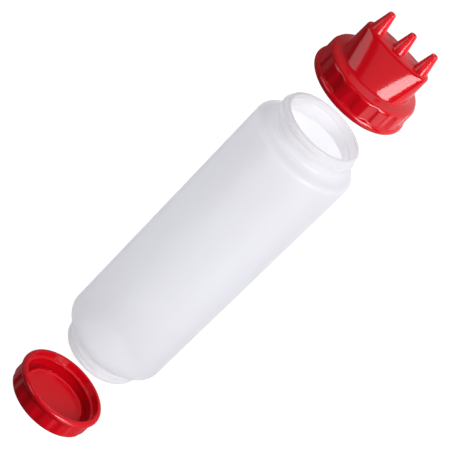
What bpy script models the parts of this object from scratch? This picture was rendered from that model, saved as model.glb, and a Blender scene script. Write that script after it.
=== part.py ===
"""A condiment squeeze bottle, taken apart and laid on its side.

The bottle is a soft tube with the same threaded neck at both ends. A cap with three
nozzles faces one neck and a plain cap faces the other, each resting on the grip ring of
its rim. Everything lies in line along X, the nozzles at +X, on the floor at z = 0.

The origin is the middle of the flat on the underside of the bottle. Each piece is
modelled about its own Z axis and then laid down, so that Z points along +X.
"""

import math

import bmesh
import bpy
from mathutils import Matrix, Vector

# Bottle, in millimetres and degrees
BODY_RADIUS = 35.0
BODY_HALF_LENGTH = 92.8
BODY_WALL = 1.3
SHOULDER_RADIUS = 3.6
SHOULDER_SLOPE = 24.6
RIM_HEIGHT = 112.1
NECK_RADIUS = 26.2
NECK_WALL = 2.7
NECK_FILLET = 1.6
REST_FLAT_WIDTH = 8.0

# Thread ridges: a right-hand helix, the same pitch on necks and caps
THREAD_PITCH = 4.6
NECK_THREAD_CREST = 27.66
NECK_THREAD_RIDGE = 1.35
NECK_THREAD_TURNS = 1.47
NECK_THREAD_BELOW_RIM = 2.55
NECK_THREAD_END_ANGLE = 200.0
CAP_THREAD_CREST = 26.9
CAP_THREAD_RIDGE = 1.2
CAP_THREAD_TURNS = 1.3
CAP_THREAD_PAST_RING = 2.2
CAP_THREAD_END_ANGLE = 190.0
THREAD_TAPER_TURN = 1 / 6
THREAD_TIP_SIZE = 0.4

# Skirt that both caps share, heights measured from the middle of the grip ring
RING_RADIUS = 31.8
RING_BEAD = 2.4
RING_TOP_ANGLE = 60.0
GRIP_RADIUS = 30.5
GRIP_FAR_RADIUS = 30.3
SKIRT_BORE = 28.3
RIM_EDGE = 0.4
FLUTES = 14
FLUTE_RADIUS = 12.0
FLUTE_DEPTH = 0.8
FLUTE_FROM_RING = 2.3
FLUTE_PHASE = 181.1

# Top cap
GRIP_HEIGHT = 11.0
CAP_SHOULDER_RADIUS = 3.0
CAP_SHOULDER_TURN = 77.0
CAP_WALL = 2.6
DOME_BASE_RADIUS = 23.3
DOME_BASE_HEIGHT = 14.7
DOME_FILLET = 1.4
DOME_TOP_HALF_LENGTH = 22.75
DOME_TOP_HALF_WIDTH = 7.95
DOME_TOP_EXPONENT = 2.3
ROUND_EXPONENT = 2.0
DOME_TOP_HEIGHT = 34.1
DOME_EDGE = 1.8
DOME_WALL = 1.8

# Nozzles on the dome
NOZZLES = 3
NOZZLE_SPACING = 16.15
NOZZLE_HEIGHT = 12.7
NOZZLE_BASE_RADIUS = 4.55
NOZZLE_TIP_RADIUS = 2.1
NOZZLE_TIP_EDGE = 0.8
NOZZLE_FILLET = 0.4
NOZZLE_ROOT = 1.2
NOZZLE_ORIFICE_RADIUS = 0.7
NOZZLE_BORE_RADIUS = 2.8

# Bottom cap
BASE_HEIGHT = 14.1
BASE_CORNER = 2.8
BASE_PLATE = 2.0
BASE_RECESS_RADIUS = 19.5
BASE_RECESS_DEPTH = 2.2
PLUG_RADIUS = 23.2
PLUG_HEIGHT = 3.4
PLUG_EDGE = 0.7
PLUG_GROOVE = 2.1
NOTCHES = 3
NOTCH_RADIUS = 0.6
NOTCH_HEIGHT = 1.4
NOTCH_STEP = 17.0
NOTCH_MIDDLE = 177.8

# Where the loose caps lie: ring along X, offset along Y, and how far the axis leans up
TOP_CAP_X = 142.6
TOP_CAP_Y = 0.6
TOP_CAP_LEAN = 2.7
BOTTOM_CAP_X = -159.8
BOTTOM_CAP_Y = 1.0
BOTTOM_CAP_LEAN = -7.0
RING_SINK = 0.1

# Fineness of the round shapes
BOTTLE_SEGMENTS = 56
CAP_SEGMENTS = 56
NOZZLE_SEGMENTS = 16
FLUTE_SEGMENTS = 30
NOTCH_SEGMENTS = 10
THREAD_STEPS_A_TURN = 20
RING_STEPS = 4
EDGE_STEPS = 3
SMALL_EDGE_STEPS = 2
SHARP_ANGLE = 32.0

# Helper shapes: the box below the floor, and how far a cut runs past what it cuts
FLOOR_BOX = (500.0, 200.0, 20.0)
CUT_PAST = 1.0

MM = 0.001
MERGE = 1e-5
COLLECTION = "squeeze_bottle"

RED = (0.72, 0.012, 0.022)
FROSTED_WHITE = (0.80, 0.80, 0.84)


def clear_scene():
    """Remove whatever the file opens with."""
    for old in list(bpy.data.objects):
        bpy.data.objects.remove(old, do_unlink=True)


def new_collection(name):
    """A collection of that name in the scene."""
    collection = bpy.data.collections.new(name)
    bpy.context.scene.collection.children.link(collection)
    return collection


def plastic(name, colour, roughness, alpha=1.0):
    """A moulded plastic."""
    material = bpy.data.materials.new(name)
    material.use_nodes = True
    shader = material.node_tree.nodes["Principled BSDF"]
    shader.inputs["Base Color"].default_value = (*colour, 1.0)
    shader.inputs["Roughness"].default_value = roughness
    shader.inputs["Metallic"].default_value = 0.0
    shader.inputs["Alpha"].default_value = alpha
    return material


def arc(centre, radius, start, end, steps):
    """Points (radius, height) of a round stretch, from one angle to another in degrees."""
    points = []
    for step in range(steps + 1):
        angle = math.radians(start + (end - start) * step / steps)
        points.append((centre[0] + radius * math.cos(angle), centre[1] + radius * math.sin(angle)))
    return points


def mirrored(points):
    """The same stretch at the other end of the bottle, running the other way."""
    return [(radius, -height) for radius, height in reversed(points)]


def turned(name, outline, segments, collection, closed):
    """A solid of revolution about its own Z axis, from an outline in millimetres."""
    mesh = bpy.data.meshes.new(name)
    shape = bmesh.new()
    verts = [shape.verts.new((radius * MM, 0.0, height * MM)) for radius, height in outline]
    for first, second in zip(verts, verts[1:]):
        shape.edges.new((first, second))
    if closed:
        shape.edges.new((verts[-1], verts[0]))
    shape.to_mesh(mesh)
    shape.free()
    piece = bpy.data.objects.new(name, mesh)
    collection.objects.link(piece)
    screw = piece.modifiers.new("Turn", 'SCREW')
    screw.axis = 'Z'
    screw.angle = 2 * math.pi
    screw.steps = segments
    screw.render_steps = segments
    screw.use_merge_vertices = True
    screw.merge_threshold = MERGE
    return piece


def as_tool(tool, piece=None):
    """Mark a helper shape that cuts or joins, and let it follow its piece."""
    tool.hide_render = True
    tool.display_type = 'WIRE'
    tool.parent = piece
    return tool


def boolean(piece, tool, operation):
    """Cut the tool from the piece, or join it on."""
    modifier = piece.modifiers.new(f"{operation.title()} {tool.name}", 'BOOLEAN')
    modifier.operation = operation
    modifier.solver = 'EXACT'
    modifier.object = tool


def evaluated_mesh(source):
    """The shape that the source's modifiers and curves make, with its seams welded."""
    bpy.context.view_layer.update()
    depsgraph = bpy.context.evaluated_depsgraph_get()
    mesh = bpy.data.meshes.new_from_object(source.evaluated_get(depsgraph))
    shape = bmesh.new()
    shape.from_mesh(mesh)
    bmesh.ops.remove_doubles(shape, verts=shape.verts, dist=MERGE / 10)
    shape.to_mesh(mesh)
    shape.free()
    return mesh


def settle(piece, material):
    """Apply the piece's modifiers, shade it round and give it its plastic."""
    mesh = evaluated_mesh(piece)
    piece.modifiers.clear()
    piece.data = mesh
    mesh.materials.clear()
    mesh.materials.append(material)
    mesh.shade_smooth()
    mesh.set_sharp_from_angle(angle=math.radians(SHARP_ANGLE))


def ridge(name, centre_radius, size, top, end_angle, turns, tools):
    """A round thread ridge that climbs to height top at end_angle, thinner at its ends."""
    count = round(turns * THREAD_STEPS_A_TURN) + 1
    taper = THREAD_TAPER_TURN * THREAD_STEPS_A_TURN
    curve = bpy.data.curves.new(name, 'CURVE')
    curve.dimensions = '3D'
    curve.bevel_depth = size * MM
    curve.bevel_resolution = 2
    curve.use_fill_caps = True
    spline = curve.splines.new('POLY')
    spline.points.add(count - 1)
    for index, point in enumerate(spline.points):
        still_to_go = (count - 1 - index) / THREAD_STEPS_A_TURN
        angle = math.radians(end_angle - 360 * still_to_go)
        place = Vector((math.cos(angle), math.sin(angle), 0.0)) * centre_radius
        place.z = top - THREAD_PITCH * still_to_go
        point.co = (*(place * MM), 1.0)
        full = min(1.0, index / taper, (count - 1 - index) / taper)
        swell = math.sin(full * math.pi / 2)
        point.radius = THREAD_TIP_SIZE + (1 - THREAD_TIP_SIZE) * swell
    guide = bpy.data.objects.new(name, curve)
    tools.objects.link(guide)
    mesh = evaluated_mesh(guide)
    bpy.data.objects.remove(guide, do_unlink=True)
    solid = bpy.data.objects.new(name, mesh)
    tools.objects.link(solid)
    return solid


def lay_down(piece, along, across, height, lean):
    """Point the piece's own Z axis along +X, leaning up by lean degrees."""
    piece.location = Vector((along, across, height)) * MM
    piece.rotation_euler = (0.0, math.radians(90.0 - lean), 0.0)


def floor_tool(tools):
    """All that is below the floor. Cutting it off leaves the flats that the pieces lie on."""
    size = Vector(FLOOR_BOX) * MM
    bpy.ops.mesh.primitive_cube_add(size=1.0, location=(0.0, 0.0, -size.z / 2), scale=size)
    floor = bpy.context.object
    floor.name = "below_the_floor"
    for owner in list(floor.users_collection):
        owner.objects.unlink(floor)
    tools.objects.link(floor)
    return as_tool(floor)


def bottle_outer_end():
    """Outer side of one end, from the top of the lip down to the straight wall."""
    lip = NECK_WALL / 2
    slope = math.radians(SHOULDER_SLOPE)
    centre = (BODY_RADIUS - SHOULDER_RADIUS, BODY_HALF_LENGTH)
    corner = arc(centre, SHOULDER_RADIUS, 90 - SHOULDER_SLOPE, 0, EDGE_STEPS)
    # The fillet is tangent to the neck and to the slope, which meet at the root
    root = corner[0][1] + (corner[0][0] - NECK_RADIUS) * math.tan(slope)
    reach = NECK_FILLET * math.tan((math.pi / 2 - slope) / 2)
    fillet_centre = (NECK_RADIUS + NECK_FILLET, root + reach)
    points = arc((NECK_RADIUS - lip, RIM_HEIGHT - lip), lip, 90, 0, EDGE_STEPS)
    points += arc(fillet_centre, NECK_FILLET, 180, 270 - SHOULDER_SLOPE, SMALL_EDGE_STEPS)
    return points + corner


def bottle_inner_end():
    """Inner side of one end, from the straight wall up to the lip."""
    lip = NECK_WALL / 2
    bore = NECK_RADIUS - NECK_WALL
    slope = math.radians(SHOULDER_SLOPE)
    centre = (BODY_RADIUS - BODY_WALL - SHOULDER_RADIUS, BODY_HALF_LENGTH - BODY_WALL / 2)
    corner = arc(centre, SHOULDER_RADIUS, 0, 90 - SHOULDER_SLOPE, SMALL_EDGE_STEPS)
    root = corner[-1][1] + (corner[-1][0] - bore) * math.tan(slope)
    edge = [(bore + lip / 2, root - lip / 2 * math.tan(slope)), (bore, root + lip / 2)]
    return corner + edge + arc((bore + lip, RIM_HEIGHT - lip), lip, 180, 135, 1)


def build_bottle(parts, tools):
    """The tube, open at both ends, with a thread ridge round each neck."""
    outer = bottle_outer_end()
    inner = bottle_inner_end()
    outline = outer + mirrored(outer) + mirrored(inner) + inner
    bottle = turned("bottle", outline, BOTTLE_SEGMENTS, parts, closed=True)
    thread = ridge("neck_thread", NECK_THREAD_CREST - NECK_THREAD_RIDGE, NECK_THREAD_RIDGE,
                   RIM_HEIGHT - NECK_THREAD_BELOW_RIM, NECK_THREAD_END_ANGLE,
                   NECK_THREAD_TURNS, tools)
    other = bpy.data.objects.new("other_neck_thread", thread.data.copy())
    other.data.transform(Matrix.Rotation(math.pi, 4, 'X'))
    tools.objects.link(other)
    boolean(bottle, as_tool(thread, bottle), 'UNION')
    boolean(bottle, as_tool(other, bottle), 'UNION')
    half_flat = REST_FLAT_WIDTH / 2
    lay_down(bottle, 0.0, 0.0, math.sqrt(BODY_RADIUS ** 2 - half_flat ** 2), 0.0)
    return bottle


def ring_and_rim():
    """Outer side of the skirt at its rim, from the grip down over the ring to the bore."""
    bead = arc((RING_RADIUS - RING_BEAD, 0.0), RING_BEAD, RING_TOP_ANGLE, -90, RING_STEPS)
    return bead + [(SKIRT_BORE + RIM_EDGE, -RING_BEAD), (SKIRT_BORE, RIM_EDGE - RING_BEAD)]


def flute_tool(low, high, tools, piece):
    """Upright cylinders round the skirt: each cuts one shallow finger flute."""
    mesh = bpy.data.meshes.new(piece.name + "_flutes")
    shape = bmesh.new()
    spread = GRIP_RADIUS - FLUTE_DEPTH + FLUTE_RADIUS
    for number in range(FLUTES):
        angle = math.radians(FLUTE_PHASE + 360 * number / FLUTES)
        middle = Vector((math.cos(angle) * spread, math.sin(angle) * spread, (low + high) / 2))
        bmesh.ops.create_cone(shape, cap_ends=True, segments=FLUTE_SEGMENTS,
                              radius1=FLUTE_RADIUS * MM, radius2=FLUTE_RADIUS * MM,
                              depth=(high - low) * MM, matrix=Matrix.Translation(middle * MM))
    shape.to_mesh(mesh)
    shape.free()
    flutes = bpy.data.objects.new(mesh.name, mesh)
    tools.objects.link(flutes)
    return as_tool(flutes, piece)


def nozzle_row():
    """Distances of the nozzles from the cap's axis."""
    return [(number - (NOZZLES - 1) / 2) * NOZZLE_SPACING for number in range(NOZZLES)]


def nozzle_tool(offset, tools, piece):
    """One conical nozzle, rooted in the top of the dome, with a fillet round its foot."""
    tip_edge = arc((NOZZLE_TIP_RADIUS - NOZZLE_TIP_EDGE, NOZZLE_HEIGHT - NOZZLE_TIP_EDGE),
                   NOZZLE_TIP_EDGE, 90, 0, SMALL_EDGE_STEPS)
    foot = arc((NOZZLE_BASE_RADIUS + NOZZLE_FILLET, NOZZLE_FILLET), NOZZLE_FILLET,
               180, 270, SMALL_EDGE_STEPS)
    outline = [(0.0, NOZZLE_HEIGHT)] + tip_edge + foot
    outline += [(foot[-1][0], -NOZZLE_ROOT), (0.0, -NOZZLE_ROOT)]
    nozzle = turned("nozzle", outline, NOZZLE_SEGMENTS, tools, closed=False)
    nozzle.location = Vector((0.0, offset, DOME_TOP_HEIGHT)) * MM
    return as_tool(nozzle, piece)


def nozzle_bore_tool(offset, tools, piece):
    """The tapering way through one nozzle, from inside the dome out past its tip."""
    low = DOME_TOP_HEIGHT - DOME_WALL - CUT_PAST
    high = DOME_TOP_HEIGHT + NOZZLE_HEIGHT + CUT_PAST
    mesh = bpy.data.meshes.new("nozzle_bore")
    shape = bmesh.new()
    middle = Vector((0.0, offset, (low + high) / 2))
    bmesh.ops.create_cone(shape, cap_ends=True, segments=NOZZLE_SEGMENTS,
                          radius1=NOZZLE_BORE_RADIUS * MM, radius2=NOZZLE_ORIFICE_RADIUS * MM,
                          depth=(high - low) * MM, matrix=Matrix.Translation(middle * MM))
    shape.to_mesh(mesh)
    shape.free()
    bore = bpy.data.objects.new("nozzle_bore", mesh)
    tools.objects.link(bore)
    return as_tool(bore, piece)


def top_cap_outline():
    """Half section of the top cap along the nozzles, from the dome's top outside to inside."""
    dome_edge = arc((DOME_TOP_HALF_LENGTH - DOME_EDGE, DOME_TOP_HEIGHT - DOME_EDGE),
                    DOME_EDGE, 90, 0, EDGE_STEPS)
    shoulder = arc((GRIP_FAR_RADIUS - CAP_SHOULDER_RADIUS, GRIP_HEIGHT),
                   CAP_SHOULDER_RADIUS, CAP_SHOULDER_TURN, 0, EDGE_STEPS)
    fillet = arc((DOME_BASE_RADIUS + DOME_FILLET, DOME_BASE_HEIGHT + DOME_FILLET),
                 DOME_FILLET, 180, 180 + CAP_SHOULDER_TURN, SMALL_EDGE_STEPS)
    points = [(0.0, DOME_TOP_HEIGHT)] + dome_edge + fillet + shoulder
    points += ring_and_rim()
    # Inside, the bore ends in a slope that keeps the wall even under the shoulder
    bore_top = GRIP_HEIGHT - RIM_EDGE
    dome_bore = DOME_TOP_HALF_LENGTH - DOME_WALL
    points += [(SKIRT_BORE, bore_top), (SKIRT_BORE - RIM_EDGE, bore_top + 2 * RIM_EDGE)]
    points += [(dome_bore + 2 * RIM_EDGE, DOME_BASE_HEIGHT - CAP_WALL), (dome_bore, DOME_BASE_HEIGHT)]
    ceiling = DOME_TOP_HEIGHT - DOME_WALL
    return points + [(dome_bore, ceiling - RIM_EDGE), (dome_bore - RIM_EDGE, ceiling), (0.0, ceiling)]


def signed_power(value, exponent):
    """The value's size raised to a power, with the value's own sign."""
    return math.copysign(abs(value) ** exponent, value)


def narrow_dome(cap):
    """Draw the dome in from two sides, from a round foot to a long oval top."""
    mesh = evaluated_mesh(cap)
    cap.modifiers.clear()
    cap.data = mesh
    full_drop = DOME_TOP_HALF_LENGTH - DOME_TOP_HALF_WIDTH
    for vert in mesh.vertices:
        radius = math.hypot(vert.co.x, vert.co.y)
        rise = vert.co.z / MM - DOME_BASE_HEIGHT
        if rise <= 0 or radius < MERGE:
            continue
        share = rise / (DOME_TOP_HEIGHT - DOME_BASE_HEIGHT)
        power = ROUND_EXPONENT / (ROUND_EXPONENT + share * (DOME_TOP_EXPONENT - ROUND_EXPONENT))
        depth = radius - share * full_drop * MM
        vert.co.x = depth * signed_power(vert.co.x / radius, power)
        vert.co.y = radius * signed_power(vert.co.y / radius, power)


def build_top_cap(parts, tools):
    """The cap with the dome and its row of nozzles, one moulding."""
    cap = turned("top_cap", top_cap_outline(), CAP_SEGMENTS, parts, closed=False)
    narrow_dome(cap)
    for offset in nozzle_row():
        boolean(cap, nozzle_tool(offset, tools, cap), 'UNION')
    for offset in nozzle_row():
        boolean(cap, nozzle_bore_tool(offset, tools, cap), 'DIFFERENCE')
    boolean(cap, flute_tool(FLUTE_FROM_RING, DOME_TOP_HEIGHT, tools, cap), 'DIFFERENCE')
    top = CAP_THREAD_PAST_RING + CAP_THREAD_TURNS * THREAD_PITCH - RING_BEAD / 2
    thread = ridge("top_cap_thread", CAP_THREAD_CREST + CAP_THREAD_RIDGE, CAP_THREAD_RIDGE,
                   top, CAP_THREAD_END_ANGLE, CAP_THREAD_TURNS, tools)
    boolean(cap, as_tool(thread, cap), 'UNION')
    lean = math.radians(TOP_CAP_LEAN)
    height = (RING_RADIUS - RING_BEAD) * math.cos(lean) + RING_BEAD - RING_SINK
    lay_down(cap, TOP_CAP_X, TOP_CAP_Y, height, TOP_CAP_LEAN)
    return cap


def bottom_cap_outline():
    """Half section of the bottom cap, from the middle of the plug over the rim to the base."""
    floor = BASE_PLATE - BASE_HEIGHT
    plug_top = floor + PLUG_HEIGHT
    points = [(0.0, plug_top), (PLUG_RADIUS - PLUG_GROOVE, plug_top)]
    points += arc((PLUG_RADIUS - PLUG_EDGE, plug_top), PLUG_EDGE, 150, 0, EDGE_STEPS)
    points += [(PLUG_RADIUS, floor), (SKIRT_BORE - RIM_EDGE, floor), (SKIRT_BORE, floor + RIM_EDGE)]
    rim = [(radius, -height) for radius, height in reversed(ring_and_rim())]
    points += rim
    points += arc((GRIP_FAR_RADIUS - BASE_CORNER, BASE_CORNER - BASE_HEIGHT), BASE_CORNER,
                  0, -90, EDGE_STEPS)
    recess = BASE_RECESS_DEPTH - BASE_HEIGHT
    points += [(BASE_RECESS_RADIUS + RIM_EDGE, -BASE_HEIGHT), (BASE_RECESS_RADIUS, recess - RIM_EDGE)]
    return points + [(BASE_RECESS_RADIUS - RIM_EDGE, recess), (0.0, recess)]


def notch_tool(tools, piece):
    """Small upright pins at the inner edge of the rim: each cuts one notch."""
    mesh = bpy.data.meshes.new("rim_notches")
    shape = bmesh.new()
    for number in range(NOTCHES):
        angle = math.radians(NOTCH_MIDDLE + (number - (NOTCHES - 1) / 2) * NOTCH_STEP)
        middle = Vector((math.cos(angle) * SKIRT_BORE, math.sin(angle) * SKIRT_BORE, RING_BEAD))
        bmesh.ops.create_cone(shape, cap_ends=True, segments=NOTCH_SEGMENTS,
                              radius1=NOTCH_RADIUS * MM, radius2=NOTCH_RADIUS * MM,
                              depth=2 * NOTCH_HEIGHT * MM, matrix=Matrix.Translation(middle * MM))
    shape.to_mesh(mesh)
    shape.free()
    notches = bpy.data.objects.new("rim_notches", mesh)
    tools.objects.link(notches)
    return as_tool(notches, piece)


def build_bottom_cap(parts, tools):
    """The plain cap, its open side with the sealing plug towards the bottle."""
    cap = turned("bottom_cap", bottom_cap_outline(), CAP_SEGMENTS, parts, closed=False)
    low = -BASE_HEIGHT - CUT_PAST
    boolean(cap, flute_tool(low, -FLUTE_FROM_RING, tools, cap), 'DIFFERENCE')
    boolean(cap, notch_tool(tools, cap), 'DIFFERENCE')
    thread = ridge("bottom_cap_thread", CAP_THREAD_CREST + CAP_THREAD_RIDGE, CAP_THREAD_RIDGE,
                   RING_BEAD / 2 - CAP_THREAD_PAST_RING, CAP_THREAD_END_ANGLE,
                   CAP_THREAD_TURNS, tools)
    boolean(cap, as_tool(thread, cap), 'UNION')
    lean = math.radians(BOTTOM_CAP_LEAN)
    height = (RING_RADIUS - RING_BEAD) * math.cos(lean) + RING_BEAD - RING_SINK
    lay_down(cap, BOTTOM_CAP_X, BOTTOM_CAP_Y, height, BOTTOM_CAP_LEAN)
    return cap


def main():
    clear_scene()
    parts = new_collection(COLLECTION)
    tools = new_collection("cutters")
    floor = floor_tool(tools)
    frosted = plastic("frosted_polyethylene", FROSTED_WHITE, roughness=0.45, alpha=0.6)
    red = plastic("red_polypropylene", RED, roughness=0.18)
    pieces = [
        (build_bottle(parts, tools), frosted),
        (build_top_cap(parts, tools), red),
        (build_bottom_cap(parts, tools), red),
    ]
    for piece, material in pieces:
        boolean(piece, floor, 'DIFFERENCE')
        settle(piece, material)
        print(piece.name, len(piece.data.polygons), "faces")


main()
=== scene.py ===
# %% [markdown]
# # A condiment squeeze bottle, taken apart
#
# The object is a soft squeeze bottle with a wide threaded neck at both ends, a red cap with
# a row of three nozzles and a plain red cap. All three lie in line on a pale floor, as if
# somebody had just unscrewed them.
#
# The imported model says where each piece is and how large. Each one is modelled here again
# with finer curves, rounder edges and real screw threads, in the same place, and then gets
# the finish of its plastic.

import math

import bpy
from mathutils import Matrix, Vector


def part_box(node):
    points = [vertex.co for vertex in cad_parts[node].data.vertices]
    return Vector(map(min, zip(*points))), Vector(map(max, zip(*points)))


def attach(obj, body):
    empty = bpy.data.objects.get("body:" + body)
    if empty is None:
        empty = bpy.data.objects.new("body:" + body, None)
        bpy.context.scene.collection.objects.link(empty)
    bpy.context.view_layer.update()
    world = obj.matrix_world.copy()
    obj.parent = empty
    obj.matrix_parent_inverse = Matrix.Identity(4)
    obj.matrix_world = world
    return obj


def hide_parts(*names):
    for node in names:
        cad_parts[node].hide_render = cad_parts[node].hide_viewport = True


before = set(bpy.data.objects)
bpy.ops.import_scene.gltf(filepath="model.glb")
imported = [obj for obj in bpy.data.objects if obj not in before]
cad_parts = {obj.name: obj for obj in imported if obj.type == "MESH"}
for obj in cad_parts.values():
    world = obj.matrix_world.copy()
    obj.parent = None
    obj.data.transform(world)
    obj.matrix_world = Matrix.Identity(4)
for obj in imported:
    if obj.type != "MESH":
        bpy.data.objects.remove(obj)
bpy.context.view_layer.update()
MM = 0.001

for node_name in sorted(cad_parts):
    low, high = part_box(node_name)
    print(node_name, "from", [round(v / MM, 1) for v in low], "to", [round(v / MM, 1) for v in high])

# %% [markdown]
# ## Drawing an outline and turning it
#
# Everything here was made in round moulds, so nearly every shape starts as half of its
# section, drawn on one side of the axis. The section could be a curve object. Here it is
# drawn as by hand: one point is extruded from corner to corner, each corner is rounded with a
# vertex bevel of its own radius, and a Screw modifier with no rise turns the line once round.
# Sharp edges would look wrong at once, because a moulded edge always has a radius and that
# radius is what catches the light.

# %% An outline with rounded corners
ARC_STEP = 0.35
WELD = 0.002


def start_edit(piece, kind='VERT'):
    """Open one piece in edit mode with nothing selected."""
    if bpy.context.object and bpy.context.object.mode != 'OBJECT':
        bpy.ops.object.mode_set(mode='OBJECT')
    bpy.ops.object.select_all(action='DESELECT')
    piece.select_set(True)
    bpy.context.view_layer.objects.active = piece
    bpy.ops.object.mode_set(mode='EDIT')
    bpy.ops.mesh.select_mode(type=kind)
    bpy.ops.mesh.select_all(action='DESELECT')
    bpy.ops.object.mode_set(mode='OBJECT')


def draw_outline(name, corners, closed=False):
    """Extrude one point along the corners (radius, height, rounding), given in millimetres."""
    bpy.ops.object.select_all(action='DESELECT')
    bpy.ops.mesh.primitive_plane_add(size=MM)
    outline = bpy.context.object
    outline.name = name
    outline.data.name = name
    places = [Vector((radius, 0.0, height)) * MM for radius, height, rounding in corners]
    bpy.ops.object.mode_set(mode='EDIT')
    bpy.ops.mesh.merge(type='CENTER')
    bpy.ops.transform.translate(value=places[0])
    for here, there in zip(places, places[1:]):
        bpy.ops.mesh.extrude_vertices_move(TRANSFORM_OT_translate={"value": there - here})
    bpy.ops.object.mode_set(mode='OBJECT')
    if closed:
        start_edit(outline)
        for place in (places[0], places[-1]):
            nearest_point(outline, place).select = True
        bpy.ops.object.mode_set(mode='EDIT')
        bpy.ops.mesh.edge_face_add()
        bpy.ops.object.mode_set(mode='OBJECT')
    for number, (radius, height, rounding) in enumerate(corners):
        if rounding:
            round_corner(outline, places, number, rounding * MM)
    return outline


def nearest_point(piece, place):
    """The piece's point that is closest to a place."""
    return min(piece.data.vertices, key=lambda vert: (vert.co - place).length)


def round_corner(outline, places, number, rounding):
    """Bevel the point at one corner, so that the arc has the given radius."""
    here = places[number]
    back = (places[number - 1] - here).normalized()
    ahead = (places[(number + 1) % len(places)] - here).normalized()
    turn = math.pi - back.angle(ahead)
    start_edit(outline)
    nearest_point(outline, here).select = True
    bpy.ops.object.mode_set(mode='EDIT')
    steps = max(2, math.ceil(rounding * turn / (ARC_STEP * MM)))
    bpy.ops.mesh.bevel(offset=rounding * math.tan(turn / 2), segments=steps, affect='VERTICES')
    bpy.ops.object.mode_set(mode='OBJECT')


def turn_outline(outline, segments):
    """Turn the outline once about Z, weld its seam and its poles, and face it outwards."""
    screw = outline.modifiers.new("Turn", 'SCREW')
    screw.axis = 'Z'
    screw.angle = 2 * math.pi
    screw.steps = screw.render_steps = segments
    start_edit(outline)
    bpy.ops.object.modifier_apply(modifier=screw.name)
    bpy.ops.object.mode_set(mode='EDIT')
    bpy.ops.mesh.select_all(action='SELECT')
    bpy.ops.mesh.remove_doubles(threshold=WELD * MM)
    bpy.ops.mesh.normals_make_consistent(inside=False)
    bpy.ops.object.mode_set(mode='OBJECT')
    return outline


# %% [markdown]
# ### Dividing a wall
#
# Turning only repeats the outline's own points, so a wall that is to carry a thread needs
# points along its height as well. Its edges are halved until they are short enough. Where a
# wall stays plain they stay long, which keeps the piece light.

# %% Dividing a wall
def divide_edges(outline, inner, outer, low, high, longest):
    """Halve the edges between two radii and two heights until none is longer than that."""
    while True:
        start_edit(outline, 'EDGE')
        points = outline.data.vertices
        for edge in outline.data.edges:
            ends = [points[index].co / MM for index in edge.vertices]
            inside = all(inner <= end.x <= outer and low <= end.z <= high for end in ends)
            edge.select = inside and (ends[0] - ends[1]).length > longest
        long_ones = sum(edge.select for edge in outline.data.edges)
        if not long_ones:
            return
        bpy.ops.object.mode_set(mode='EDIT')
        bpy.ops.mesh.subdivide(number_cuts=1)
        bpy.ops.object.mode_set(mode='OBJECT')


WALL_REACH = 0.1


def divide_wall(outline, radius, low, high, longest):
    """Divide the upright wall at one radius finely enough to carry a thread."""
    divide_edges(outline, radius - WALL_REACH, radius + WALL_REACH, low, high, longest)


# %% [markdown]
# ## Shapes that run round a wall
#
# Screw threads and finger flutes are pressed into a round wall. A Boolean with a helix or
# with a ring of cylinders would cut them, but it leaves hard seams and long thin faces that
# shade badly. Here each point of the finely divided wall is moved towards or away from the
# axis by a rule, so the thread grows out of the wall with a soft foot, as it does in a mould.

# %% Moving points by a rule
def reshape(piece, rule):
    """Give each point the distance from the axis that rule(radius, angle, height) returns."""
    for vert in piece.data.vertices:
        radius = math.hypot(vert.co.x, vert.co.y) / MM
        angle = math.degrees(math.atan2(vert.co.y, vert.co.x))
        new_radius = rule(radius, angle, vert.co.z / MM)
        if radius and new_radius != radius:
            vert.co.x *= new_radius / radius
            vert.co.y *= new_radius / radius
    piece.data.update()


# %% [markdown]
# ### A ridge that climbs
#
# A screw ridge is known by its pitch, its number of turns and the angle where it ends. For a
# point of the wall, the rule counts back along the turns to the crest that passes it and
# measures how far above or below the point lies. Both ends of the ridge sink into the wall.

# %% A ridge that climbs
def smooth_step(value, low, high):
    """0 below low, 1 above high and an S-shaped rise between."""
    share = min(1.0, max(0.0, (value - low) / (high - low)))
    return share * share * (3 - 2 * share)


THREAD_PITCH = 4.6
THREAD_TAPER_TURN = 1 / 6
THREAD_FOOT = 1.25
THREAD_CREST = 0.3


def thread_share(angle, height, top, end_angle, turns):
    """How much of a right-hand ridge stands at this place: 1 on its crest, 0 beside it."""
    best = 0.0
    to_go = ((end_angle - angle) % 360) / 360
    while to_go <= turns:
        aside = abs(height - (top - THREAD_PITCH * to_go))
        near_end = min(1.0, to_go / THREAD_TAPER_TURN, (turns - to_go) / THREAD_TAPER_TURN)
        swell = math.sin(near_end * math.pi / 2)
        best = max(best, swell * (1 - smooth_step(aside, THREAD_CREST, THREAD_FOOT)))
        to_go += 1
    return best


print("one turn of a thread climbs", THREAD_PITCH, "mm")

# %% [markdown]
# ## The bottle
#
# The bottle is blown from low-density polyethylene: soft, milky and a bit over a millimetre
# thick, with necks of nearly three millimetres. Both necks are open and threaded, so that the
# bottle can be filled from one end and squeezed out of the other. The wall is drawn as one
# closed outline, outside and inside, because light passes through this plastic and a wall
# with a true thickness shows its rim and its inner side in the right places.

# %% Bottle outline
bottle_low, bottle_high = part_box("bottle")
BODY_RADIUS = (bottle_high.y - bottle_low.y) / 2 / MM
RIM_HEIGHT = bottle_high.x / MM
BOTTLE_AXIS_HEIGHT = bottle_high.z / MM - BODY_RADIUS
BODY_WALL = 1.3
NECK_RADIUS = 26.2
NECK_BORE = 23.5
NECK_ROOT_FILLET = 1.6
RIM_OUTER_EDGE = 1.1
RIM_INNER_EDGE = 0.9
SHOULDER_SLOPE = math.tan(math.radians(24.6))
SHOULDER_EDGE = 3.6
SHOULDER_HEIGHT = 95.11
INNER_SHOULDER_HEIGHT = 94.46
BOTTLE_SEGMENTS = 256

print("body radius", round(BODY_RADIUS, 2), "rim at", round(RIM_HEIGHT, 2))

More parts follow.
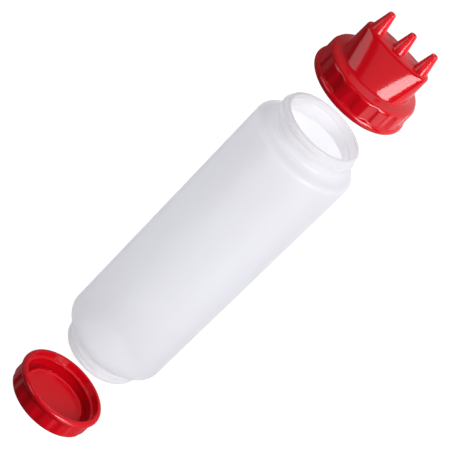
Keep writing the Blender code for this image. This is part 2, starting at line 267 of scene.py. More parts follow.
outer_root = SHOULDER_HEIGHT + (BODY_RADIUS - NECK_RADIUS) * SHOULDER_SLOPE
inner_root = INNER_SHOULDER_HEIGHT + (BODY_RADIUS - BODY_WALL - NECK_BORE) * SHOULDER_SLOPE
outer_half = [
    (NECK_RADIUS, RIM_HEIGHT, RIM_OUTER_EDGE),
    (NECK_RADIUS, outer_root, NECK_ROOT_FILLET),
    (BODY_RADIUS, SHOULDER_HEIGHT, SHOULDER_EDGE),
]
inner_half = [
    (BODY_RADIUS - BODY_WALL, INNER_SHOULDER_HEIGHT, SHOULDER_EDGE),
    (NECK_BORE, inner_root, NECK_ROOT_FILLET),
    (NECK_BORE, RIM_HEIGHT, RIM_INNER_EDGE),
]


def turned_over(corners):
    """The same stretch of the outline at the other end, in reverse order."""
    return [(radius, -height, rounding) for radius, height, rounding in reversed(corners)]


bottle_corners = outer_half + turned_over(outer_half) + turned_over(inner_half) + inner_half
bottle = draw_outline("squeeze_bottle", bottle_corners, closed=True)

NECK_DIVISION = 0.25
BORE_DIVISION = 0.6
BODY_DIVISION = 10.0
BORE_FROM_ROOT = 1.0
BORE_BELOW_RIM = 0.5
for end in (-1, 1):
    low, high = sorted((end * outer_root, end * RIM_HEIGHT))
    divide_wall(bottle, NECK_RADIUS, low, high, NECK_DIVISION)
    low, high = sorted((end * (inner_root + BORE_FROM_ROOT), end * (RIM_HEIGHT - BORE_BELOW_RIM)))
    divide_wall(bottle, NECK_BORE, low, high, BORE_DIVISION)
divide_edges(bottle, 0, BODY_RADIUS, -RIM_HEIGHT, RIM_HEIGHT, BODY_DIVISION)
turn_outline(bottle, BOTTLE_SEGMENTS)
print("bottle has", len(bottle.data.polygons), "faces")

# %% [markdown]
# ### The neck threads
#
# Each neck has one ridge that climbs about one and a half turns and fades out at both ends,
# so that the cap can find its start. Behind the ridge the bore sinks a little, as it does in
# a blown neck. The two necks are the same, turned end for end, which keeps both threads
# right-hand.

# %% Neck threads
NECK_THREAD_HEIGHT = 1.46
NECK_THREAD_SINK = 0.7
NECK_THREAD_TOP = RIM_HEIGHT - 2.55
NECK_THREAD_TURNS = 1.47
NECK_THREAD_END = 200.0
NECK_REACH = 0.5


def neck_thread(radius, angle, height):
    """Raise the ridge on the outside of both necks and sink the bore a little behind it."""
    outside = abs(radius - NECK_RADIUS) < NECK_REACH
    inside = abs(radius - NECK_BORE) < NECK_REACH
    if abs(height) < outer_root or not (outside or inside):
        return radius
    if height < 0:
        angle, height = -angle, -height
    share = thread_share(angle, height, NECK_THREAD_TOP, NECK_THREAD_END, NECK_THREAD_TURNS)
    return radius + share * (NECK_THREAD_HEIGHT if outside else NECK_THREAD_SINK)


reshape(bottle, neck_thread)
print("neck ridges stand at radius", round(NECK_RADIUS + NECK_THREAD_HEIGHT, 2))

# %% [markdown]
# ### Laying a piece down
#
# A piece is modelled upright round the Z axis, where turning is simple. Then it is tipped
# over so that its top points along X, moved to its place and cut off level with the floor,
# which gives round pieces the small flat that they lie on.

# %% Laying a piece down
CUT_TOLERANCE = 0.001


def lay_down(piece, along, across, height, lean):
    """Tip the piece so that its Z axis points along X, put it in place and cut it at the floor."""
    piece.rotation_euler = (0.0, math.radians(90.0 - lean), 0.0)
    piece.location = Vector((along, across, height)) * MM
    start_edit(piece)
    bpy.ops.object.transform_apply(location=True, rotation=True, scale=True)
    bpy.ops.object.mode_set(mode='EDIT')
    bpy.ops.mesh.select_all(action='SELECT')
    bpy.ops.mesh.bisect(plane_co=(0, 0, 0), plane_no=(0, 0, -1), use_fill=True,
                        clear_outer=True, threshold=CUT_TOLERANCE * MM)
    bpy.ops.object.mode_set(mode='OBJECT')


SHARP_ANGLE = math.radians(35)


def shade_round(piece):
    """Shade the piece smooth, apart from its true edges."""
    start_edit(piece)
    bpy.ops.object.shade_smooth_by_angle(angle=SHARP_ANGLE)


lay_down(bottle, 0.0, 0.0, BOTTLE_AXIS_HEIGHT, 0.0)
shade_round(bottle)
print("bottle laid down, height", round(max(vert.co.z for vert in bottle.data.vertices) / MM, 2))

# %% [markdown]
# ## The skirt that both caps share
#
# Both caps have the same skirt: a rounded grip ring at the rim, a wall with fourteen shallow
# flutes for the fingers, and one ridge of thread inside.

# %% Skirt sizes and rules
RING_RADIUS = 31.8
RING_BEAD = 2.4
RING_SLOPE = math.radians(30)
RING_TOP = RING_BEAD * math.tan(RING_SLOPE)
GRIP_RADIUS = 30.5
GRIP_FAR_RADIUS = 30.3
GRIP_FROM_RING = 2.15
GRIP_EDGE = 0.3
SKIRT_BORE = 28.3
RIM_EDGE = 0.4
CAP_SEGMENTS = 280

FLUTES = 14
FLUTE_PHASE = 181.1
FLUTE_RADIUS = 12.0
FLUTE_DEPTH = 0.8
FLUTE_BLEND = 0.35
FLUTE_FADE = 0.6
FLUTE_REACH = SKIRT_BORE + 0.5
FLUTE_CENTRE = GRIP_RADIUS - FLUTE_DEPTH + FLUTE_RADIUS


def fluted(radius, angle, from_ring):
    """The radius left after upright round cutters have bitten into the grip."""
    if radius < FLUTE_REACH or from_ring < GRIP_FROM_RING:
        return radius
    pitch = 360 / FLUTES
    aside = math.radians((angle - FLUTE_PHASE + pitch / 2) % pitch - pitch / 2)
    cut = FLUTE_RADIUS ** 2 - (FLUTE_CENTRE * math.sin(aside)) ** 2
    if cut <= 0:
        return radius
    floor = FLUTE_CENTRE * math.cos(aside) - math.sqrt(cut)
    share = min(1.0, max(0.0, 0.5 + (floor - radius) / (2 * FLUTE_BLEND)))
    blended = floor + (radius - floor) * share - FLUTE_BLEND * share * (1 - share)
    fade = smooth_step(from_ring, GRIP_FROM_RING, GRIP_FROM_RING + FLUTE_FADE)
    return radius + (blended - radius) * fade


CAP_THREAD_HEIGHT = 1.4
CAP_THREAD_TURNS = 1.3
CAP_THREAD_END = 190.0
CAP_THREAD_REACH = 0.3
CAP_THREAD_DIVISION = 0.3
FLUTE_DIVISION = 0.5


def cap_thread(radius, angle, height, top):
    """Raise the ridge inside the skirt, towards the axis."""
    if abs(radius - SKIRT_BORE) > CAP_THREAD_REACH:
        return radius
    share = thread_share(angle, height, top, CAP_THREAD_END, CAP_THREAD_TURNS)
    return radius - CAP_THREAD_HEIGHT * share


print("skirt ring radius", RING_RADIUS, "with", FLUTES, "flutes and a bore of radius", SKIRT_BORE)

# %% [markdown]
# ### Copies and Booleans
#
# A few details of the caps are not round about the cap's axis, such as nozzles and notches.
# One of each is modelled, copied to its places and joined on or cut away by one Boolean. The
# exact solver is used, because walls that are close together confuse the fast one.

# %% Copies and Booleans
def copies(piece, places):
    """Set copies of the piece at the places, given in millimetres, and join them into one."""
    start = piece.location.copy()
    made = [piece] + [piece.copy() for place in places[1:]]
    for copy, place in zip(made, places):
        copy.location = start + place * MM
    for copy in made[1:]:
        copy.data = piece.data.copy()
        bpy.context.scene.collection.objects.link(copy)
    start_edit(piece)
    for copy in made:
        copy.select_set(True)
    bpy.ops.object.join()
    return piece


def cut_with(piece, tool, operation):
    """Apply a Boolean with the tool and remove the tool."""
    start_edit(piece)
    modifier = piece.modifiers.new(operation.title(), 'BOOLEAN')
    modifier.operation = operation
    modifier.solver = 'EXACT'
    modifier.object = tool
    bpy.ops.object.modifier_apply(modifier=modifier.name)
    bpy.data.objects.remove(tool, do_unlink=True)


# %% [markdown]
# ## The top cap
#
# The top cap is injection moulded from red polypropylene. A sloping shoulder closes the
# skirt, and on it stands a dome with a round foot and a long narrow top that carries the
# nozzles. A loft between two drawn sections would make it, but the seam with the round
# shoulder is easier to keep if the whole cap is turned first. Then the dome is drawn in from
# two sides, more and more towards its top.

# %% Top cap body
DOME_BASE_RADIUS = 23.3
DOME_BASE_HEIGHT = 14.7
DOME_FOOT_RISE = 0.3
DOME_FILLET = 1.4
DOME_DIVISION = 1.2
DOME_TOP_HALF_LENGTH = 22.75
DOME_TOP_HALF_WIDTH = 7.95
DOME_TOP_EXPONENT = 2.3
ROUND_EXPONENT = 2.0
DOME_TOP_HEIGHT = 34.1
DOME_EDGE = 1.8
DOME_WALL = 1.8
DOME_BORE = DOME_TOP_HALF_LENGTH - DOME_WALL
DOME_CEILING = DOME_TOP_HEIGHT - DOME_WALL
DOME_INNER_FOOT_EDGE = 1.2
DOME_CEILING_EDGE = 0.5
CAP_WALL = 2.6
SKIRT_CORNER_EDGE = 0.8
CAP_SHOULDER = math.tan(math.radians(13))
CAP_SHOULDER_EDGE = 3.0
TOP_CAP_THREAD_TOP = 7.13
AXIS_REACH = 0.01


def signed_power(value, exponent):
    """The value's size raised to a power, with the value's own sign."""
    return math.copysign(abs(value) ** exponent, value)


def narrow_dome(cap):
    """Draw the dome in from two sides, from a round foot to a long oval top."""
    full_drop = (DOME_TOP_HALF_LENGTH - DOME_TOP_HALF_WIDTH) * MM
    for vert in cap.data.vertices:
        radius = math.hypot(vert.co.x, vert.co.y)
        rise = vert.co.z / MM - DOME_BASE_HEIGHT
        if rise <= 0 or radius < AXIS_REACH * MM:
            continue
        share = rise / (DOME_TOP_HEIGHT - DOME_BASE_HEIGHT)
        power = ROUND_EXPONENT / (ROUND_EXPONENT + share * (DOME_TOP_EXPONENT - ROUND_EXPONENT))
        depth = radius - share * full_drop
        vert.co.x = depth * signed_power(vert.co.x / radius, power)
        vert.co.y = radius * signed_power(vert.co.y / radius, power)
    cap.data.update()


dome_foot = DOME_BASE_HEIGHT + DOME_FOOT_RISE
shoulder_top = dome_foot - (GRIP_FAR_RADIUS - DOME_BASE_RADIUS) * CAP_SHOULDER
top_cap = draw_outline("nozzle_cap", [
    (0.0, DOME_TOP_HEIGHT, 0.0),
    (DOME_TOP_HALF_LENGTH, DOME_TOP_HEIGHT, DOME_EDGE),
    (DOME_BASE_RADIUS, dome_foot, DOME_FILLET),
    (GRIP_FAR_RADIUS, shoulder_top, CAP_SHOULDER_EDGE),
    (GRIP_RADIUS, GRIP_FROM_RING, GRIP_EDGE),
    (RING_RADIUS, RING_TOP, RING_BEAD),
    (RING_RADIUS, -RING_BEAD, RING_BEAD),
    (SKIRT_BORE, -RING_BEAD, RIM_EDGE),
    (SKIRT_BORE, shoulder_top - CAP_WALL, SKIRT_CORNER_EDGE),
    (DOME_BORE, DOME_BASE_HEIGHT - CAP_WALL, DOME_INNER_FOOT_EDGE),
    (DOME_BORE, DOME_CEILING, DOME_CEILING_EDGE),
    (0.0, DOME_CEILING, 0.0),
])
divide_wall(top_cap, SKIRT_BORE, -RING_BEAD, shoulder_top, CAP_THREAD_DIVISION)
divide_edges(top_cap, DOME_BASE_RADIUS, RING_RADIUS, RING_BEAD / 2, DOME_BASE_HEIGHT, FLUTE_DIVISION)
divide_edges(top_cap, DOME_BORE - WALL_REACH, DOME_BASE_RADIUS, DOME_BASE_HEIGHT - CAP_WALL,
             DOME_TOP_HEIGHT, DOME_DIVISION)
turn_outline(top_cap, CAP_SEGMENTS)
narrow_dome(top_cap)
reshape(top_cap, fluted)
reshape(top_cap, lambda radius, angle, height: cap_thread(
    radius, angle, height, TOP_CAP_THREAD_TOP))
print("nozzle cap has", len(top_cap.data.polygons), "faces")

# %% [markdown]
# ### The nozzles
#
# Three conical nozzles stand in a row on the dome, part of the same moulding. They are made
# once and copied, joined on with one Boolean and bored out with another, because a nozzle is
# round about its own axis and not about the cap's. The small fillet round the foot is what
# catches a bright spot of light.

# %% Nozzles
NOZZLE_SPACING = 16.15
NOZZLE_HEIGHT = 12.7
NOZZLE_BASE_RADIUS = 4.55
NOZZLE_TIP_RADIUS = 2.1
NOZZLE_TIP_EDGE = 0.8
NOZZLE_FILLET = 0.4
NOZZLE_FILLET_DROP = 0.03
NOZZLE_ROOT = 1.2
NOZZLE_BORE_RADIUS = 2.8
NOZZLE_ORIFICE_RADIUS = 0.7
NOZZLE_SEGMENTS = 64
BORE_OVERRUN = 1.0

nozzle_places = [Vector((0.0, across, 0.0)) for across in (-NOZZLE_SPACING, 0.0, NOZZLE_SPACING)]
nozzle = draw_outline("nozzle", [
    (0.0, DOME_TOP_HEIGHT + NOZZLE_HEIGHT, 0.0),
    (NOZZLE_TIP_RADIUS, DOME_TOP_HEIGHT + NOZZLE_HEIGHT, NOZZLE_TIP_EDGE),
    (NOZZLE_BASE_RADIUS, DOME_TOP_HEIGHT, NOZZLE_FILLET),
    (NOZZLE_BASE_RADIUS + NOZZLE_FILLET, DOME_TOP_HEIGHT - NOZZLE_FILLET_DROP, 0.0),
    (NOZZLE_BASE_RADIUS + NOZZLE_FILLET, DOME_TOP_HEIGHT - NOZZLE_ROOT, 0.0),
    (0.0, DOME_TOP_HEIGHT - NOZZLE_ROOT, 0.0),
])
turn_outline(nozzle, NOZZLE_SEGMENTS)
cut_with(top_cap, copies(nozzle, nozzle_places), 'UNION')

bore_low = DOME_CEILING - BORE_OVERRUN
bore_high = DOME_TOP_HEIGHT + NOZZLE_HEIGHT + BORE_OVERRUN
bpy.ops.object.select_all(action='DESELECT')
bpy.ops.mesh.primitive_cone_add(
    vertices=NOZZLE_SEGMENTS // 2, radius1=NOZZLE_BORE_RADIUS * MM, radius2=NOZZLE_ORIFICE_RADIUS * MM,
    depth=(bore_high - bore_low) * MM, location=(0, 0, (bore_low + bore_high) / 2 * MM))
cut_with(top_cap, copies(bpy.context.object, nozzle_places), 'DIFFERENCE')

# %% [markdown]
# ### Where the cap lies
#
# The cap stands on the edge of its grip ring. Its axis leans up a little, because the ring is
# wider than the rest, so its resting height is worked out from the ring.

# %% Top cap in place
TOP_CAP_X = 142.6
TOP_CAP_Y = 0.6
TOP_CAP_LEAN = 2.7
RING_SINK = 0.1


def rest_height(lean):
    """Height of the ring's middle when its rim just sinks into the floor."""
    return (RING_RADIUS - RING_BEAD) * math.cos(math.radians(lean)) + RING_BEAD - RING_SINK


lay_down(top_cap, TOP_CAP_X, TOP_CAP_Y, rest_height(TOP_CAP_LEAN), TOP_CAP_LEAN)
shade_round(top_cap)
print("nozzle cap laid down,", len(top_cap.data.polygons), "faces")

# %% [markdown]
# ## The bottom cap
#
# The bottom cap closes the filling end. Its skirt is the same. Inside, a low round plug with
# a raised lip stands on the end plate and seals against the bore of the neck, with a moat
# round it for the neck's rim. Base, plug and skirt are drawn as one outline again, because
# all of them are round, and the flutes and the thread are pressed into it afterwards.

# %% Bottom cap body
BASE_HEIGHT = 14.1
BASE_EDGE = 2.8
BASE_PLATE = 2.0
PLUG_RADIUS = 23.2
PLUG_HEIGHT = 3.4
PLUG_TOP = BASE_PLATE + PLUG_HEIGHT - BASE_HEIGHT
PLUG_EDGE = 0.4
LIP_FOOT = 2.1
LIP_WIDTH = 1.4
LIP_RISE = 0.65
LIP_EDGE = 0.5
RECESS_RADIUS = 19.5
RECESS_DEPTH = 2.2
RECESS_EDGE = 0.4
MOAT = BASE_PLATE - BASE_HEIGHT
MOAT_EDGE = 0.5
BOTTOM_CAP_THREAD_TOP = -1.15

bottom_cap = draw_outline("plain_cap", [
    (0.0, PLUG_TOP, 0.0),
    (PLUG_RADIUS - LIP_FOOT, PLUG_TOP, PLUG_EDGE),
    (PLUG_RADIUS - LIP_WIDTH, PLUG_TOP + LIP_RISE, LIP_EDGE),
    (PLUG_RADIUS, PLUG_TOP + LIP_RISE, LIP_EDGE),
    (PLUG_RADIUS, MOAT, PLUG_EDGE),
    (SKIRT_BORE, MOAT, MOAT_EDGE),
    (SKIRT_BORE, RING_BEAD, RIM_EDGE),
    (RING_RADIUS, RING_BEAD, RING_BEAD),
    (RING_RADIUS, -RING_TOP, RING_BEAD),
    (GRIP_RADIUS, -GRIP_FROM_RING, GRIP_EDGE),
    (GRIP_FAR_RADIUS, -BASE_HEIGHT, BASE_EDGE),
    (RECESS_RADIUS + RECESS_EDGE, -BASE_HEIGHT, RECESS_EDGE),
    (RECESS_RADIUS, RECESS_DEPTH - BASE_HEIGHT, RECESS_EDGE),
    (0.0, RECESS_DEPTH - BASE_HEIGHT, 0.0),
])
divide_wall(bottom_cap, SKIRT_BORE, MOAT, RING_BEAD, CAP_THREAD_DIVISION)
divide_edges(bottom_cap, GRIP_FAR_RADIUS - BASE_EDGE, RING_RADIUS, -BASE_HEIGHT, -RING_BEAD / 2,
             FLUTE_DIVISION)
turn_outline(bottom_cap, CAP_SEGMENTS)
reshape(bottom_cap, lambda radius, angle, height: fluted(radius, angle, -height))
reshape(bottom_cap, lambda radius, angle, height: cap_thread(
    radius, angle, height, BOTTOM_CAP_THREAD_TOP))
print("plain cap before its notches has", len(bottom_cap.data.polygons), "faces")

# %% [markdown]
# ### Notches in the rim
#
# Three small notches are cut into the inner edge of the rim, on the side that is seen here.
# They look like marks of the mould. A short pin is copied round the rim and cut away.

# %% Rim notches
NOTCH_RADIUS = 0.6
NOTCH_DEPTH = 1.4
NOTCH_MIDDLE = 177.8
NOTCH_STEP = 17.0
NOTCH_ANGLES = [NOTCH_MIDDLE - NOTCH_STEP, NOTCH_MIDDLE, NOTCH_MIDDLE + NOTCH_STEP]
NOTCH_SEGMENTS = 24

notch_places = [Matrix.Rotation(math.radians(angle), 4, 'Z') @ Vector((SKIRT_BORE, 0.0, RING_BEAD))
                for angle in NOTCH_ANGLES]
bpy.ops.object.select_all(action='DESELECT')
bpy.ops.mesh.primitive_cylinder_add(
    vertices=NOTCH_SEGMENTS, radius=NOTCH_RADIUS * MM, depth=2 * NOTCH_DEPTH * MM)
cut_with(bottom_cap, copies(bpy.context.object, notch_places), 'DIFFERENCE')

BOTTOM_CAP_X = -159.8
BOTTOM_CAP_Y = 1.0
BOTTOM_CAP_LEAN = -7.0
lay_down(bottom_cap, BOTTOM_CAP_X, BOTTOM_CAP_Y, rest_height(BOTTOM_CAP_LEAN), BOTTOM_CAP_LEAN)
shade_round(bottom_cap)
print("plain cap has", len(bottom_cap.data.polygons), "faces")

# %% [markdown]
# ## Materials
#
# One small function adds a node with its settings and its links, and one turns the hex
# colours, which are sRGB as a screen shows them, into the linear values that a shader needs.

# %% Material helpers
def add_node(tree, kind, sockets=None, **settings):
    """Add a node, set its properties, and link or fill its input sockets."""
    node = tree.nodes.new(kind)
    for name, value in settings.items():
        setattr(node, name, value)
    for name, value in (sockets or {}).items():
        if isinstance(value, bpy.types.NodeSocket):
            tree.links.new(value, node.inputs[name])
        else:
            node.inputs[name].default_value = value
    return node


def colour(code):
    """An sRGB hex colour as linear RGBA."""
    channels = [int(code[start:start + 2], 16) / 255 for start in (1, 3, 5)]
    linear = [c / 12.92 if c <= 0.04045 else ((c + 0.055) / 1.055) ** 2.4 for c in channels]
    return (*linear, 1.0)


def new_material(name):
    """An empty node material, with its tree and output node."""
    material = bpy.data.materials.new(name)
    material.use_nodes = True
    tree = material.node_tree
    tree.nodes.clear()
    return material, tree, tree.nodes.new("ShaderNodeOutputMaterial")


# %% [markdown]
# ### Frosted polyethylene
#
# Natural low-density polyethylene is milky: most of the light that enters is scattered before
# it leaves, a little goes straight through. A volume would show that truly, but it is slow and
# noisy, and the wall is thin. So the wall is a satin skin mixed with a translucent sheet and a
# small clear share. The necks are twice as thick as the body, so there both the translucent
# and the clear share are lower, and they look denser. The grain is the fine roughness that a
# blasted blow mould leaves. It is really about a tenth of a millimetre wide and is drawn
# 0.8 mm wide, as coarse as it needs to be to show.

# %% Frosted polyethylene
SKIN_GRAIN = 0.8
SKIN_GRAIN_DEPTH = 0.03
BODY_PASSES = 0.66
NECK_PASSES = 0.57
BODY_CLEAR = 0.30
NECK_CLEAR = 0.12
NECK_STARTS = 0.097
NECK_FULL = 0.100

frosted, tree, output = new_material("blown_low_density_polyethylene")
coords = add_node(tree, "ShaderNodeTexCoord")
grain = add_node(tree, "ShaderNodeTexNoise", {"Vector": coords.outputs["Object"],
                                              "Scale": 1 / (SKIN_GRAIN * MM), "Detail": 2.0})
bump = add_node(tree, "ShaderNodeBump", {"Height": grain.outputs["Fac"], "Strength": 0.5,
                                         "Distance": SKIN_GRAIN_DEPTH * MM})
skin = add_node(tree, "ShaderNodeBsdfPrincipled", {
    "Base Color": colour("#F6F6F9"), "Roughness": 0.26, "IOR": 1.51, "Specular IOR Level": 1.0,
    "Normal": bump.outputs["Normal"]})
through = add_node(tree, "ShaderNodeBsdfTranslucent", {"Color": colour("#F8F8FA")})
place = add_node(tree, "ShaderNodeSeparateXYZ", {0: coords.outputs["Object"]})
from_middle = add_node(tree, "ShaderNodeMath", {0: place.outputs["X"]}, operation='ABSOLUTE')
passed_on = add_node(tree, "ShaderNodeMapRange", {
    "Value": from_middle.outputs[0], "From Min": NECK_STARTS, "From Max": NECK_FULL,
    "To Min": BODY_PASSES, "To Max": NECK_PASSES})
milky = add_node(tree, "ShaderNodeMixShader", {0: passed_on.outputs[0], 1: skin.outputs[0],
                                               2: through.outputs[0]})
share = add_node(tree, "ShaderNodeMapRange", {
    "Value": from_middle.outputs[0], "From Min": NECK_STARTS, "From Max": NECK_FULL,
    "To Min": BODY_CLEAR, "To Max": NECK_CLEAR})
clear = add_node(tree, "ShaderNodeBsdfTransparent", {"Color": colour("#F6F6F8")})
wall = add_node(tree, "ShaderNodeMixShader", {0: share.outputs[0], 1: milky.outputs[0],
                                              2: clear.outputs[0]})
tree.links.new(wall.outputs[0], output.inputs["Surface"])
print("frosted polyethylene: clear share", BODY_CLEAR, "in the body,", NECK_CLEAR, "in the necks")

# %% [markdown]
# ### Red polypropylene
#
# The caps are moulded in a polished tool, so they are glossy and opaque. What makes them look
# moulded is that long reflections are not quite straight: the plastic shrinks a little as it
# cools. A soft ripple 5 mm wide does that, too shallow to be seen in the outline. The nozzles
# are painted a lighter red. This is painted light, standing in for the extra light from above that
# they catch.

# %% Red polypropylene
SHRINK_RIPPLE = 5.0
SHRINK_RIPPLE_DEPTH = 0.05
# Along X, in metres: where the nozzles' painted lighter red starts and where it is full.
NOZZLES_START = 0.176
NOZZLE_LIGHT_FULL = 0.181

red, tree, output = new_material("moulded_red_polypropylene")
coords = add_node(tree, "ShaderNodeTexCoord")
ripple = add_node(tree, "ShaderNodeTexNoise", {"Vector": coords.outputs["Object"],
                                               "Scale": 1 / (SHRINK_RIPPLE * MM), "Detail": 1.0})
bump = add_node(tree, "ShaderNodeBump", {"Height": ripple.outputs["Fac"], "Strength": 0.4,
                                         "Distance": SHRINK_RIPPLE_DEPTH * MM})
place = add_node(tree, "ShaderNodeSeparateXYZ", {0: coords.outputs["Object"]})
# Painted light: the nozzles get a lighter red, standing in for the extra light from above that they
# catch.
painted_light_share = add_node(tree, "ShaderNodeMapRange", {
    "Value": place.outputs["X"], "From Min": NOZZLES_START, "From Max": NOZZLE_LIGHT_FULL})
painted_nozzle_light = add_node(tree, "ShaderNodeMixRGB", {"Fac": painted_light_share.outputs[0], "Color1": colour("#CC0618"),
                                           "Color2": colour("#F02834")})
shell = add_node(tree, "ShaderNodeBsdfPrincipled", {
    "Base Color": painted_nozzle_light.outputs[0], "Roughness": 0.14, "IOR": 1.49, "Normal": bump.outputs["Normal"]})
tree.links.new(shell.outputs[0], output.inputs["Surface"])
print("red polypropylene: gloss with a ripple of", SHRINK_RIPPLE, "mm")

# %% [markdown]
# ## Putting the pieces on the frame
#
# Each piece takes its plastic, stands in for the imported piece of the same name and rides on
# the one rigid body. Nothing here moves on its own, so no piece needs a joint.

# %% Dress and attach the pieces
pieces = [
    (bottle, "bottle", frosted, "frosted_ldpe"),
    (top_cap, "top_cap", red, "red_pp"),
    (bottom_cap, "bottom_cap", red, "red_pp"),
]
for piece, node_name, material, slot_name in pieces:
    piece.data.materials.clear()
    piece.data.materials.append(material)
    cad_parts[node_name].data.materials.clear()
    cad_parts[node_name].data.materials.append(material)
    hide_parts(node_name)
    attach(piece, "root")
    print(piece.name, "is made of", material.name)

# %% [markdown]
# ## The floor
#
# The pieces look as if they lay on a white light table: the floor glows as bright as paper and
# nearly no shadow is left. The sheet is far brighter to look at than it is as a lamp, because
# a real table only glows close to the object. So its glow is reduced where it lights a matt
# surface. What a gloss sees of it is painted by place. A bright patch beside the nozzle cap is a
# painted reflection of lit floor that its highlights come from. The dim glow elsewhere is
# a painted shadow of the floor round the caps. The plane lies 0.4 mm lower than the pieces, so
# that it never shares a plane with their flats.

# %% Floor
FLOOR_SIZE = 6.0
FLOOR_DROP = -0.0004
# Glow levels seen in a gloss. Dark is painted shadow, bright is the painted lit patch, and far end is
# the dim painted shade towards the plain cap.
GLOSS_DARK = 0.02
GLOSS_BRIGHT = 0.7
GLOSS_FAR_END = 0.12
GLOSS_FROM = 0.045
GLOSS_TO = -0.02
NOZZLE_END = 0.1
GLOW_AS_LAMP = 0.6

bpy.ops.object.select_all(action='DESELECT')
bpy.ops.mesh.primitive_plane_add(size=FLOOR_SIZE, location=(0.0, 0.0, FLOOR_DROP))
floor = bpy.context.object
floor.name = "studio_floor"
paper, tree, output = new_material("glowing_white_acrylic")
seen = add_node(tree, "ShaderNodeLightPath")
coords = add_node(tree, "ShaderNodeTexCoord")
place = add_node(tree, "ShaderNodeSeparateXYZ", {0: coords.outputs["Object"]})
# Painted reflection and painted shadow: in a gloss the glow is bright in a patch beside the nozzle
# cap, and dim towards +Y and towards the plain cap.
painted_gloss_patch = add_node(tree, "ShaderNodeMapRange", {
    "Value": place.outputs["Y"], "From Min": GLOSS_FROM, "From Max": GLOSS_TO,
    "To Min": GLOSS_DARK, "To Max": GLOSS_BRIGHT})
towards_nozzles = add_node(tree, "ShaderNodeMapRange", {
    "Value": place.outputs["X"], "From Min": 0.0, "From Max": NOZZLE_END})
painted_gloss_glow = add_node(tree, "ShaderNodeMix", {"Factor": towards_nozzles.outputs[0],
                                        "A": GLOSS_FAR_END, "B": painted_gloss_patch.outputs[0]})
in_gloss = add_node(tree, "ShaderNodeMix", {"Factor": seen.outputs["Is Glossy Ray"],
                                            "A": 1.0, "B": painted_gloss_glow.outputs["Result"]})
glow = add_node(tree, "ShaderNodeMix", {"Factor": seen.outputs["Is Diffuse Ray"],
                                        "A": in_gloss.outputs["Result"], "B": GLOW_AS_LAMP})
sheet = add_node(tree, "ShaderNodeBsdfPrincipled", {
    "Base Color": colour("#707070"), "Roughness": 0.9, "Specular IOR Level": 0.1,
    "Emission Color": colour("#FFFFFF"), "Emission Strength": glow.outputs["Result"]})
tree.links.new(sheet.outputs[0], output.inputs["Surface"])
floor.data.materials.append(paper)
print("floor glows, with", GLOSS_BRIGHT, "in a gloss and", GLOW_AS_LAMP, "as a lamp")

# %% [markdown]
# ## The camera
#
# The photo is taken from well above and from the side of the nozzle cap, about a metre away,
# and turned so that the row of pieces runs from corner to corner. A long lens at that distance
# gives the same slight taper of the bottle.

# %% Camera
IMAGE_SIDE = 450
FOCAL_PIXELS = 1650
SENSOR_WIDTH = 36.0
VIEW_LIMIT = 20.0
CAMERA_DISTANCE = 983.0
CAMERA_TILT = math.radians(31.4)
CAMERA_ROLL = math.radians(45.14)
AIM = Vector((19.3, 0.65, 34.77)) * MM

back = Vector((math.sin(CAMERA_TILT), 0.0, math.cos(CAMERA_TILT)))
along = Vector((math.cos(CAMERA_TILT), 0.0, -math.sin(CAMERA_TILT)))
aside = Vector((0.0, -1.0, 0.0))
right = along * math.cos(CAMERA_ROLL) + aside * math.sin(CAMERA_ROLL)
up = along * math.sin(CAMERA_ROLL) - aside * math.cos(CAMERA_ROLL)

camera_data = bpy.data.cameras.new("camera")
camera_data.sensor_width = SENSOR_WIDTH
camera_data.lens = SENSOR_WIDTH * FOCAL_PIXELS / IMAGE_SIDE
camera_data.clip_end = VIEW_LIMIT
camera = bpy.data.objects.new("camera", camera_data)
bpy.context.scene.collection.objects.link(camera)
camera.matrix_world = Matrix.Translation(AIM + back * CAMERA_DISTANCE * MM) @ Matrix(
    (right, up, back)).transposed().to_4x4()
bpy.context.scene.camera = camera
print("camera at", [round(value, 3) for value in camera.matrix_world.translation])

# %% [markdown]
# ## The lights
#
# The gloss of the nozzle cap shows how the object was lit: one long bright strip on one side
# of its dome and a dim one on the other. Two panels beyond that end make them. A card in
# front softens the red between them, a side panel lights the back of the skirt, and the dark
# room gives the flutes their deep bands.
#
# Four more lamps each light one piece alone, by light linking: the table's glow under the
# bottle, a wide panel above it, a card at its far neck, and a card for the inner wall of the
# plain cap. Lamps that reach everything would put stray spots on the glossy caps. Places and
# sizes are in metres and powers in watts.

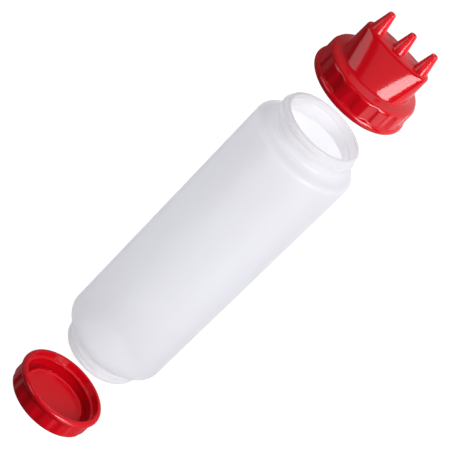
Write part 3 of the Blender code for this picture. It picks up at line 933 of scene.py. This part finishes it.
# %% Lights
def softbox(name, place, target, size, power):
    """A rectangular area light that faces its target."""
    light = bpy.data.lights.new(name, 'AREA')
    light.shape = 'RECTANGLE'
    light.size, light.size_y = size
    light.energy = power
    lamp = bpy.data.objects.new(name, light)
    bpy.context.scene.collection.objects.link(lamp)
    lamp.location = place
    lamp.rotation_euler = (Vector(place) - Vector(target)).to_track_quat('Z', 'X').to_euler()
    return lamp


ROOM_LIGHT = 0.04
DOME = (0.16, 0.0, 0.04)
SKIRT = (0.15, 0.0, 0.04)
BODY = (-0.02, 0.0, 0.04)
FAR_NECK = (-0.10, 0.0, 0.05)
PLAIN_CAP = (-0.16, 0.0, 0.03)
UNDER_BOTTLE = (0.0, 0.0, FLOOR_DROP / 2)
STRAIGHT_UP = (0.0, 0.0, 1.0)

softbox("key_panel", (0.62, -0.79, 0.64), DOME, (0.68, 0.64), 13.5)
softbox("fill_panel", (0.545, 0.85, 0.59), DOME, (0.66, 0.60), 2.1)
softbox("front_card", (0.96, -0.1, 0.80), DOME, (0.60, 0.80), 0.6)
softbox("side_panel", (-0.36, -0.89, 0.44), SKIRT, (0.80, 0.60), 1.8)
table_glow = softbox("table_glow", UNDER_BOTTLE, STRAIGHT_UP, (0.226, 0.08), 0.034)
table_glow.rotation_euler = (math.pi, 0.0, 0.0)
lit_alone = [
    (bottle, table_glow),
    (bottle, softbox("overhead_panel", (-0.05, 0.45, 1.12), BODY, (1.0, 1.0), 6.6)),
    (bottle, softbox("neck_card", (-0.75, -0.15, 0.40), FAR_NECK, (0.25, 0.50), 1.3)),
    (bottom_cap, softbox("inner_wall_card", (0.0, -0.62, 0.30), PLAIN_CAP, (0.30, 0.30), 0.9)),
]
for piece, lamp in lit_alone:
    lamp.light_linking.receiver_collection = bpy.data.collections.new(lamp.name)
    lamp.light_linking.receiver_collection.objects.link(piece)
    lamp.visible_camera = False

world = bpy.data.worlds.new("studio")
bpy.context.scene.world = world
world.use_nodes = True
background = world.node_tree.nodes["Background"]
seen = add_node(world.node_tree, "ShaderNodeLightPath")
room = add_node(world.node_tree, "ShaderNodeMix", {"Factor": seen.outputs["Is Camera Ray"],
                                                   "A": ROOM_LIGHT, "B": 1.0})
background.inputs["Color"].default_value = colour("#FFFFFF")
world.node_tree.links.new(room.outputs["Result"], background.inputs["Strength"])
bpy.context.scene.view_settings.view_transform = 'Standard'
